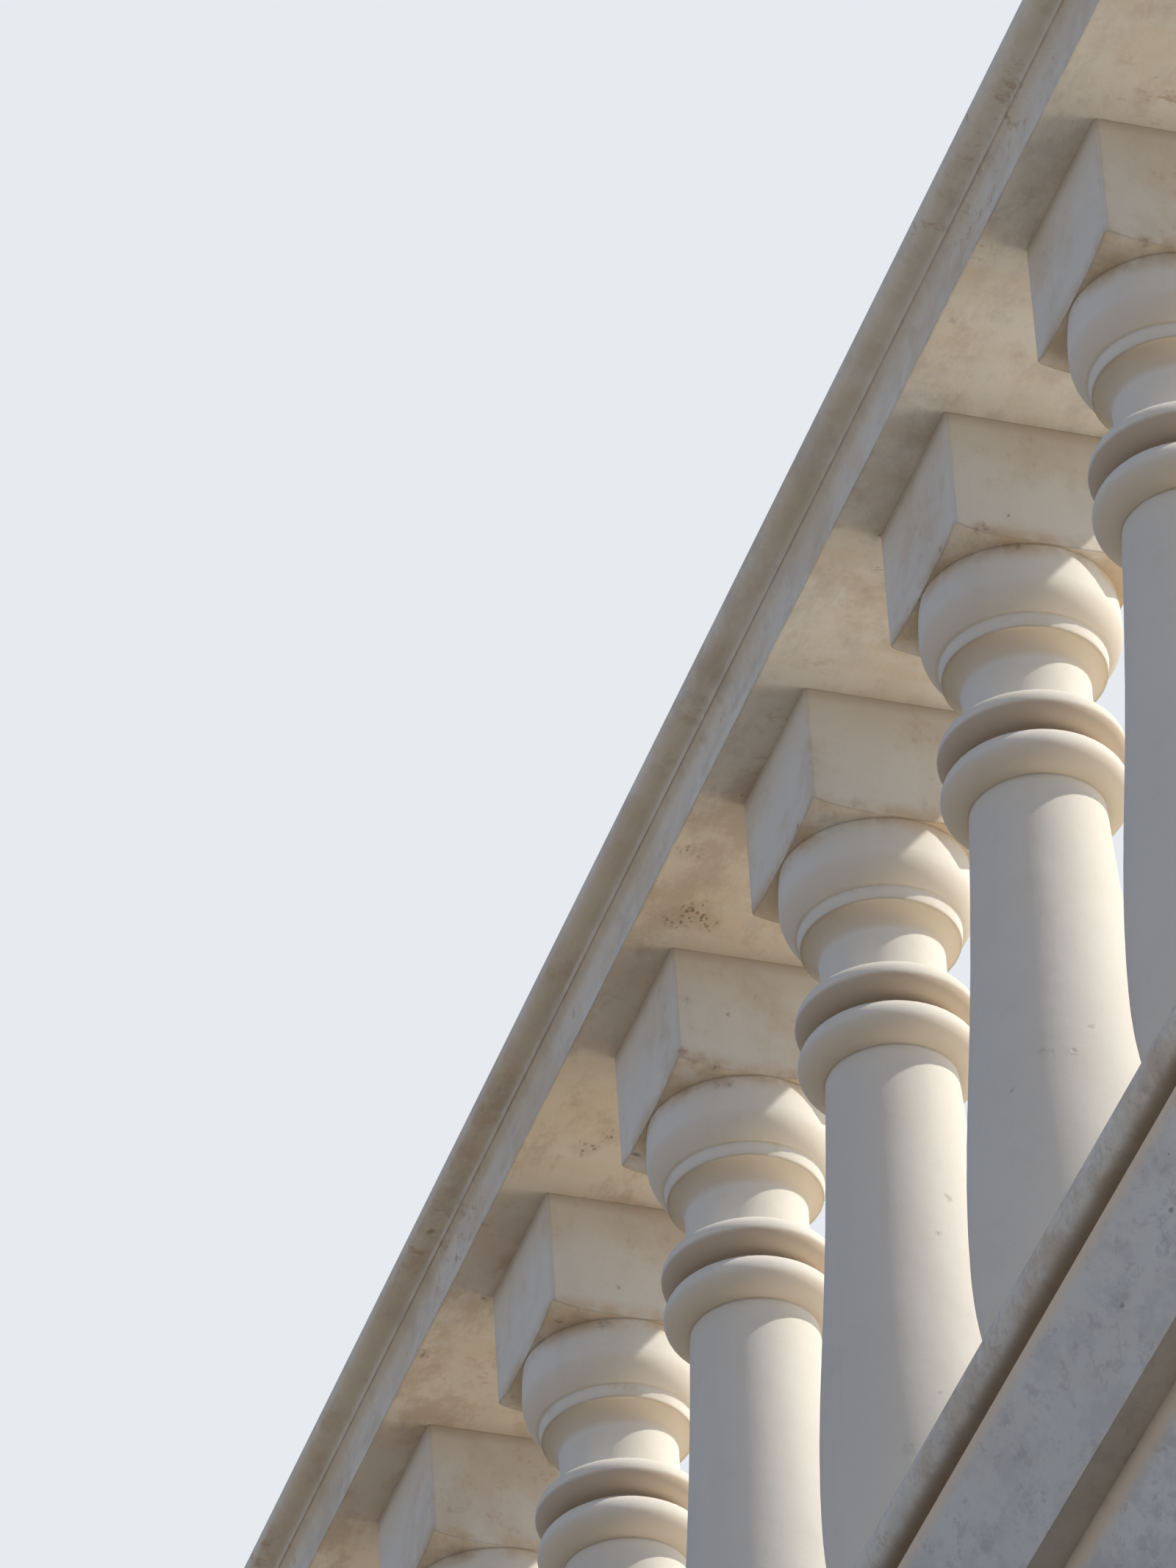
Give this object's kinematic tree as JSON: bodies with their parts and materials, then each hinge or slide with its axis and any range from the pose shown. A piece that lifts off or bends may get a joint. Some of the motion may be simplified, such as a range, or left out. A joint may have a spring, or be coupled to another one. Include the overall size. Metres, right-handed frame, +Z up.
{
  "type": "stone balustrade",
  "caption": "Straight level run of stone balustrade, with turned balusters under a moulded handrail, on a round-edged coping, a band course and a low base wall.",
  "frame": {"origin": "middle of the flat underside of the base wall", "axes": "+X along the run, -Y towards the front, +Z up"},
  "size_m": [2.19, 0.428, 1.477],
  "materials": {
    "baluster_stone": "matt cream stone, lightly pitted",
    "rail_stone": "matt cream stone, brown weathering",
    "coping_stone": "matt cream stone, mottled brown and grey",
    "band_stone": "honed, cloudy beige and grey, sparse pits",
    "wall_stone": "honed, cloudy beige and grey, sparse pits"
  },
  "bodies": {
    "root": {"baluster_1": "baluster_stone", "baluster_2": "baluster_stone", "baluster_3": "baluster_stone", "baluster_4": "baluster_stone", "baluster_5": "baluster_stone", "baluster_6": "baluster_stone", "baluster_7": "baluster_stone", "coping_1": "coping_stone", "coping_2": "coping_stone", "coping_3": "coping_stone", "band_course_1": "band_stone", "band_course_2": "band_stone", "band_course_3": "band_stone", "base_wall_1": "wall_stone", "base_wall_2": "wall_stone", "base_wall_3": "wall_stone", "handrail": "rail_stone"}
  },
  "joints": []
}
